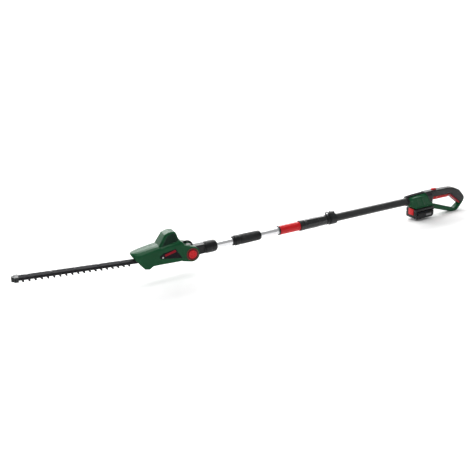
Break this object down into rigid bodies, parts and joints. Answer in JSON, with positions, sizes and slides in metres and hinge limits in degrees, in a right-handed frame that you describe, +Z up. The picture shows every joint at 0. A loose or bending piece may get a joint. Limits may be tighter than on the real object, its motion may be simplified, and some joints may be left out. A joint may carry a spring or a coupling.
{
  "type": "pole hedge trimmer",
  "caption": "Cordless long-reach hedge trimmer: tilting double-sided blade head, telescopic pole with twist locks, rear D-handle and slide-on battery.",
  "frame": {"origin": "centre of the bounding box's underside, on the plane of the hand loop's lowest point", "axes": "+X along the pole from the blade tip to the rear handle, +Z up with the blade flat, +Y across to the tool's right side"},
  "size_m": [2.132, 0.09, 0.2008],
  "materials": {
    "green_plastic": "fine satin texture",
    "black_plastic": "fine matt texture",
    "red_plastic": "satin",
    "pale_plastic": "satin",
    "soft_rubber": "soft matt",
    "cable_rubber": "smooth matt",
    "tube_aluminium": "satin anodised",
    "black_aluminium": "black powder coat",
    "cast_aluminium": "as cast",
    "blade_steel": "black oxide",
    "steel": "machined",
    "copper_windings": "varnished",
    "circuit_board": "solder mask",
    "cell_wrap": "shrink film"
  },
  "bodies": {
    "handle": {"lock_body": "black_plastic", "outer_tube": "black_aluminium", "front_grip": "soft_rubber", "strap_collar": "black_plastic", "strap_eye": "steel", "handle_shell_left": "green_plastic", "handle_shell_right": "green_plastic", "soft_grip": "soft_rubber", "nose_ring": "black_plastic", "trigger_pin": "steel", "trigger_spring": "steel", "lock_off_spring": "steel", "switch_body": "black_plastic", "control_board": "circuit_board", "terminal_block": "pale_plastic", "handle_screws": "steel", "power_cable": "cable_rubber"},
    "inner_pole": {"pivot_neck": "black_plastic", "detent_rings": "steel", "neck_collar": "black_plastic", "upper_tube": "tube_aluminium", "coupling_body": "black_plastic", "lower_tube": "tube_aluminium", "tube_guide": "black_plastic"},
    "head": {"head_shell_left": "green_plastic", "head_shell_right": "green_plastic", "vent_grilles": "black_plastic", "gear_bracket": "cast_aluminium", "motor_can": "steel", "ball_bearings": "steel", "blade_bar": "blade_steel", "fixed_comb": "blade_steel", "blade_bolts": "steel", "blade_nuts": "steel", "blade_spacers": "steel", "tip_guard": "black_plastic", "head_screws": "steel", "pivot_pin": "steel", "tilt_bezel": "red_plastic", "pivot_cap": "black_plastic", "tilt_button_spring": "steel", "cable_gland": "pale_plastic", "pivot_cable": "cable_rubber"},
    "blade": {"moving_blade": "blade_steel", "yoke_roller": "steel"},
    "gear": {"drive_gear": "steel"},
    "rotor": {"motor_armature": "copper_windings", "motor_shaft": "steel", "motor_fan": "black_plastic", "motor_pinion": "steel"},
    "tilt_button": {"tilt_button": "red_plastic"},
    "coupling_nut": {"coupling_nut": "black_plastic"},
    "lock_collar": {"lock_collar": "red_plastic"},
    "trigger": {"trigger": "red_plastic"},
    "switch_plunger": {"switch_plunger": "pale_plastic"},
    "lock_off_button": {"lock_off_button": "red_plastic"},
    "battery": {"battery_case_upper": "black_plastic", "battery_case_lower": "black_plastic", "battery_cells": "cell_wrap"},
    "battery_release": {"battery_release_button": "red_plastic"}
  },
  "joints": [
    {"name": "pole_extension", "type": "slide", "parent": "handle", "child": "inner_pole", "axis": [-1, 0, 0], "range_m": [-0.085, 0.46], "deforming": ["power_cable"]},
    {"name": "head_tilt", "type": "hinge", "parent": "inner_pole", "child": "head", "pos_m": [-0.41601, 0, 0.1], "axis": [0, 1, 0], "range_deg": [-80, 55], "deforming": ["pivot_cable"]},
    {"name": "coupling_turn", "type": "hinge", "parent": "inner_pole", "child": "coupling_nut", "pos_m": [-0.16601, 0, 0.1], "axis": [1, 0, 0], "range_deg": [0, 90]},
    {"name": "lock_turn", "type": "hinge", "parent": "handle", "child": "lock_collar", "pos_m": [0.04899, 0, 0.1], "axis": [1, 0, 0], "range_deg": [0, 90]},
    {"name": "tilt_button_press", "type": "slide", "parent": "head", "child": "tilt_button", "axis": [0, 1, 0], "range_m": [0, 0.004], "stiffness_N_per_m": 1500, "springref_m": -0.003, "deforming": ["tilt_button_spring"]},
    {"name": "blade_stroke", "type": "slide", "parent": "head", "child": "blade", "axis": [0.9965, 0, -0.0837], "range_m": [-0.008, 0.008]},
    {"name": "gear_spin", "type": "hinge", "parent": "head", "child": "gear", "pos_m": [-0.54115, 0, 0.11553], "axis": [0.0837, 0, 0.9965], "continuous": true},
    {"name": "motor_spin", "type": "hinge", "parent": "head", "child": "rotor", "pos_m": [-0.49637, 0, 0.14689], "axis": [0.0837, 0, 0.9965], "continuous": true},
    {"name": "trigger_squeeze", "type": "hinge", "parent": "handle", "child": "trigger", "pos_m": [0.87999, 0, 0.093], "axis": [0, -1, 0], "range_deg": [0, 4], "stiffness_Nm_per_rad": 6, "springref_deg": -1.72, "deforming": ["trigger_spring"]},
    {"name": "switch_travel", "type": "slide", "parent": "handle", "child": "switch_plunger", "axis": [0, 0, 1], "range_m": [0, 0.0036]},
    {"name": "lock_off_press", "type": "slide", "parent": "handle", "child": "lock_off_button", "axis": [0, 0, -1], "range_m": [0, 0.004], "stiffness_N_per_m": 700, "springref_m": -0.003, "deforming": ["lock_off_spring"]},
    {"name": "battery_slide", "type": "slide", "parent": "handle", "child": "battery", "axis": [-1, 0, 0], "range_m": [0, 0.115]},
    {"name": "battery_release_press", "type": "slide", "parent": "battery", "child": "battery_release", "axis": [1, 0, 0], "range_m": [0, 0.0025], "stiffness_N_per_m": 1500, "springref_m": -0.002}
  ],
  "couplings": [
    {"joint": "motor_spin", "follows": "gear_spin", "ratio": -3},
    {"joint": "switch_travel", "follows": "trigger_squeeze", "m_per_rad": 0.049}
  ]
}
